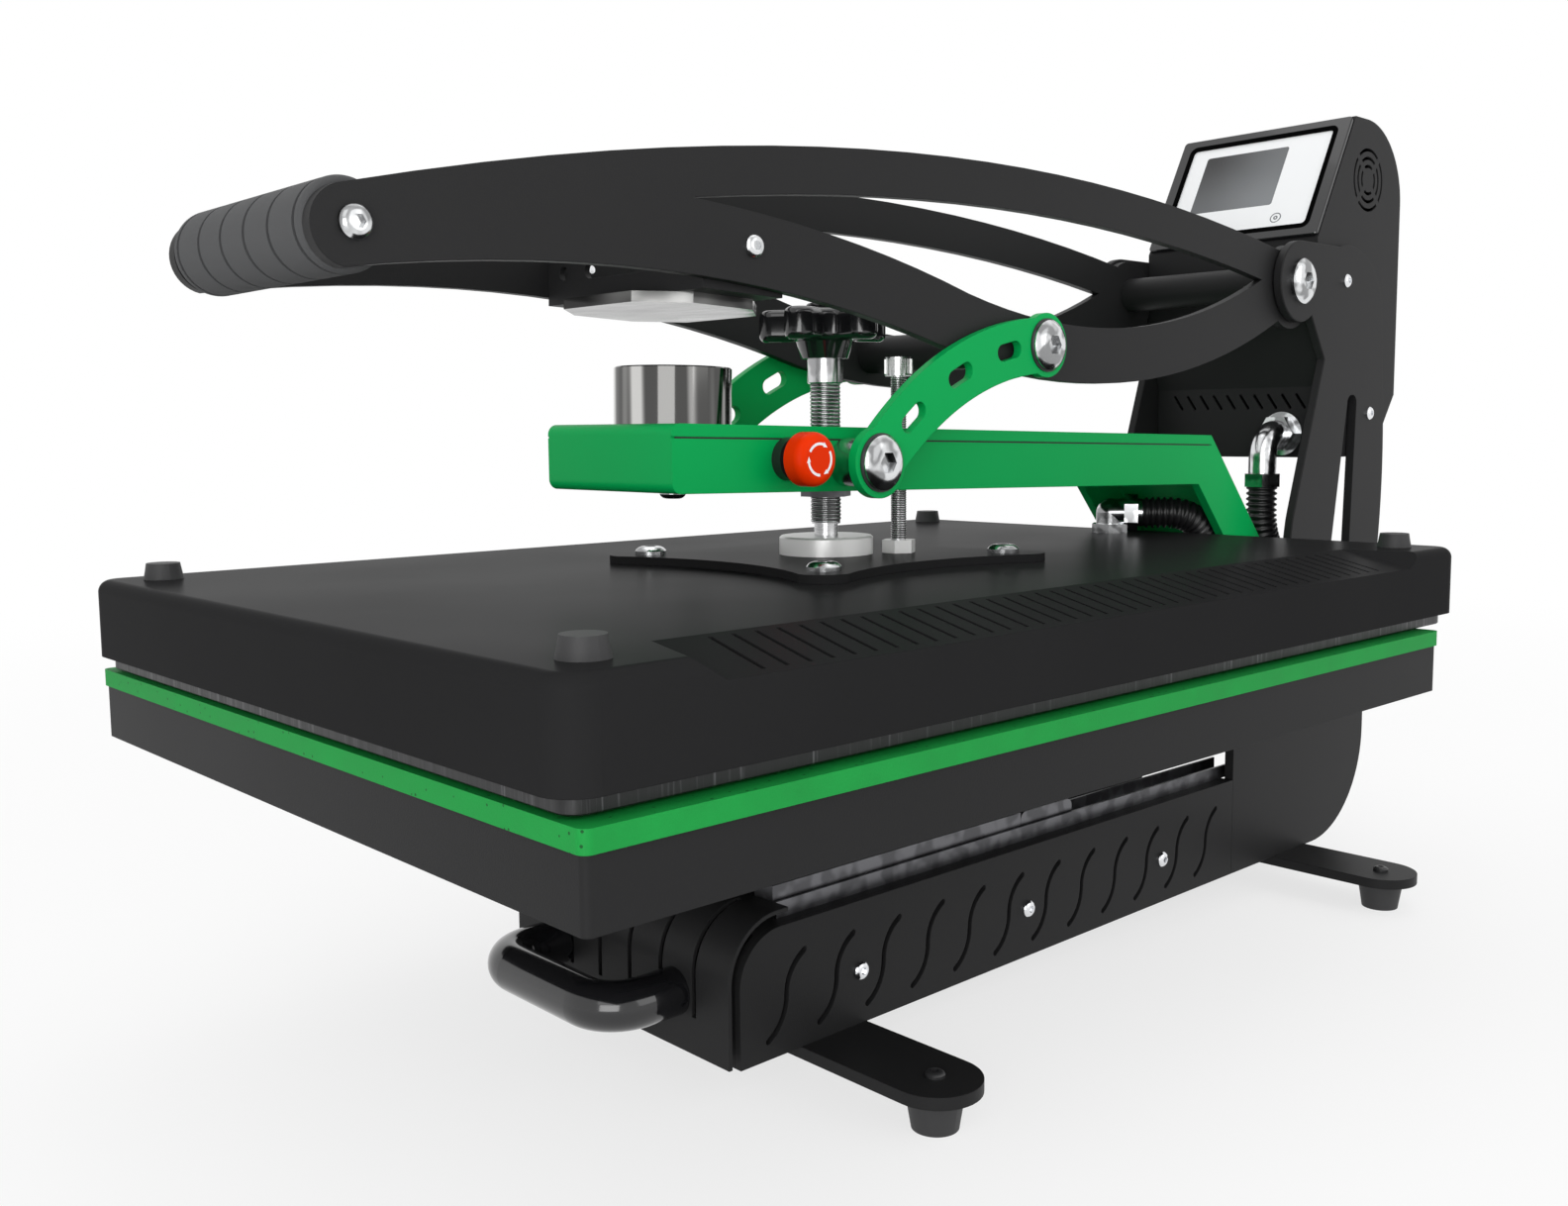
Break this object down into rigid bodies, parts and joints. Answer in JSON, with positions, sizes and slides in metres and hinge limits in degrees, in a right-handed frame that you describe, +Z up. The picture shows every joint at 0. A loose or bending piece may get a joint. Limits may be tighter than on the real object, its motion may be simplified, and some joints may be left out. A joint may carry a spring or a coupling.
{
  "type": "auto-open heat press",
  "caption": "Bench heat press with a curved lever, magnet hold-down, green lifting beam, large heat platen and a pull-out lower plate.",
  "frame": {"origin": "on the bench below the centre of the machine's box", "axes": "+Z up, +X the operator's right, the operator stands at -Y"},
  "size_m": [0.425, 0.8552, 0.5286],
  "materials": {
    "chassis": "black powder coat",
    "rail_cover_left": "black powder coat",
    "rail_cover_right": "black powder coat",
    "frame_screws": "machined steel",
    "side_plate_left": "black powder coat",
    "side_plate_right": "black powder coat",
    "control_box": "black powder coat",
    "screen_bezel": "black plastic",
    "screen_panel": "white panel",
    "display_window": "dark display",
    "pivot_shaft": "machined steel",
    "pivot_bolts": "bright chrome",
    "upper_elbow": "bright chrome",
    "power_inlet": "black plastic",
    "foot_bars": "black powder coat",
    "rubber_feet": "black rubber",
    "outer_slides": "zinc-plated sheet",
    "beam_shaft": "machined steel",
    "conduit_hose": "black plastic",
    "power_switch": "gloss black plastic",
    "arm_left": "black powder coat",
    "arm_right": "black powder coat",
    "arm_pivot_tube": "black powder coat",
    "arm_cross_tube": "black powder coat",
    "handle_bar": "black powder coat",
    "handle_grip": "soft dark grey foam",
    "handle_bolts": "bright chrome",
    "catch_bracket": "black powder coat",
    "catch_plate": "bright chrome",
    "arm_screws": "bright chrome",
    "lift_beam": "green powder coat",
    "magnet": "machined steel",
    "magnet_screw": "bright chrome",
    "spindle_nut": "machined steel",
    "stop_collar": "black plastic",
    "link_spacers": "machined steel",
    "link_left": "green powder coat",
    "link_right": "green powder coat",
    "link_bolts": "bright chrome",
    "stop_stem": "black plastic",
    "stop_head": "red plastic",
    "platen_cover": "black powder coat",
    "heat_plate": "cast aluminium, coated",
    "insulation": "fibre insulation",
    "mount_plate": "black powder coat",
    "mount_screws": "bright chrome",
    "bumpers": "black rubber",
    "guide_bolt": "bright chrome",
    "guide_nut": "bright chrome",
    "lower_elbow": "bright chrome",
    "spindle_disc": "bright chrome",
    "spindle": "bright chrome",
    "spindle_collar": "machined steel",
    "knob": "black plastic",
    "lower_box": "black powder coat",
    "press_pad": "green silicone sponge",
    "drawer_front": "black powder coat",
    "drawer_handle": "gloss black plastic",
    "inner_slides": "zinc-plated sheet",
    "middle_slides": "black plastic"
  },
  "bodies": {
    "frame": {"chassis": "chassis", "rail_cover_left": "rail_cover_left", "rail_cover_right": "rail_cover_right", "frame_screws": "frame_screws", "side_plate_left": "side_plate_left", "side_plate_right": "side_plate_right", "control_box": "control_box", "screen_bezel": "screen_bezel", "screen_panel": "screen_panel", "display_window": "display_window", "pivot_shaft": "pivot_shaft", "pivot_bolts": "pivot_bolts", "upper_elbow": "upper_elbow", "power_inlet": "power_inlet", "foot_bars": "foot_bars", "rubber_feet": "rubber_feet", "outer_slides": "outer_slides", "beam_shaft": "beam_shaft", "conduit_hose": "conduit_hose"},
    "power_rocker": {"power_switch": "power_switch"},
    "lever": {"arm_left": "arm_left", "arm_right": "arm_right", "arm_pivot_tube": "arm_pivot_tube", "arm_cross_tube": "arm_cross_tube", "handle_bar": "handle_bar", "handle_grip": "handle_grip", "handle_bolts": "handle_bolts", "catch_bracket": "catch_bracket", "catch_plate": "catch_plate", "arm_screws": "arm_screws"},
    "lift": {"lift_beam": "lift_beam", "magnet": "magnet", "magnet_screw": "magnet_screw", "spindle_nut": "spindle_nut", "stop_collar": "stop_collar", "link_spacers": "link_spacers"},
    "links": {"link_left": "link_left", "link_right": "link_right", "link_bolts": "link_bolts"},
    "stop_plunger": {"stop_stem": "stop_stem"},
    "stop_button": {"stop_head": "stop_head"},
    "platen": {"platen_cover": "platen_cover", "heat_plate": "heat_plate", "insulation": "insulation", "mount_plate": "mount_plate", "mount_screws": "mount_screws", "bumpers": "bumpers", "guide_bolt": "guide_bolt", "guide_nut": "guide_nut", "lower_elbow": "lower_elbow", "spindle_disc": "spindle_disc"},
    "pressure_screw": {"spindle": "spindle", "spindle_collar": "spindle_collar", "knob": "knob"},
    "drawer": {"lower_box": "lower_box", "press_pad": "press_pad", "drawer_front": "drawer_front", "drawer_handle": "drawer_handle", "inner_slides": "inner_slides"},
    "slide_middles": {"middle_slides": "middle_slides"}
  },
  "joints": [
    {"name": "arm_lift", "type": "hinge", "parent": "frame", "child": "lever", "pos_m": [0, 0.2682, 0.4086], "axis": [-1, 0, 0], "range_deg": [-0.1, 40]},
    {"name": "beam_lift", "type": "hinge", "parent": "frame", "child": "lift", "pos_m": [0, 0.2802, 0.1936], "axis": [-1, 0, 0], "range_deg": [-0.1, 21.1], "deforming": ["conduit_hose"]},
    {"name": "link_swing", "type": "hinge", "parent": "lift", "child": "links", "pos_m": [0, -0.1408, 0.2966], "axis": [1, 0, 0], "range_deg": [-0.2, 43.5]},
    {"name": "stop_press", "type": "slide", "parent": "lift", "child": "stop_plunger", "axis": [-1, 0, 0], "range_m": [0, 0.004]},
    {"name": "stop_twist", "type": "hinge", "parent": "stop_plunger", "child": "stop_button", "pos_m": [0.066, -0.1808, 0.29903], "axis": [-1, 0, 0], "range_deg": [0, 45]},
    {"name": "platen_travel", "type": "slide", "parent": "lift", "child": "platen", "axis": [0, 0, 1], "range_m": [0, 0.004], "deforming": ["conduit_hose"]},
    {"name": "pressure_turn", "type": "hinge", "parent": "platen", "child": "pressure_screw", "pos_m": [0, -0.1068, 0.2556], "axis": [0, 0, 1], "range_deg": [-1, 721]},
    {"name": "drawer_pull", "type": "slide", "parent": "frame", "child": "drawer", "axis": [0, -1, 0], "range_m": [0, 0.28]},
    {"name": "slide_follow", "type": "slide", "parent": "frame", "child": "slide_middles", "axis": [0, -1, 0], "range_m": [0, 0.1401]},
    {"name": "power_rock", "type": "hinge", "parent": "frame", "child": "power_rocker", "pos_m": [-0.026, 0.4242, 0.3656], "axis": [1, 0, 0], "range_deg": [0, 14]}
  ],
  "couplings": [
    {"joint": "beam_lift", "follows": "arm_lift", "ratio": 0.5265},
    {"joint": "link_swing", "follows": "arm_lift", "ratio": 1.085},
    {"joint": "pressure_turn", "follows": "platen_travel", "rad_per_m": 3141.6},
    {"joint": "slide_follow", "follows": "drawer_pull", "ratio": 0.5}
  ]
}
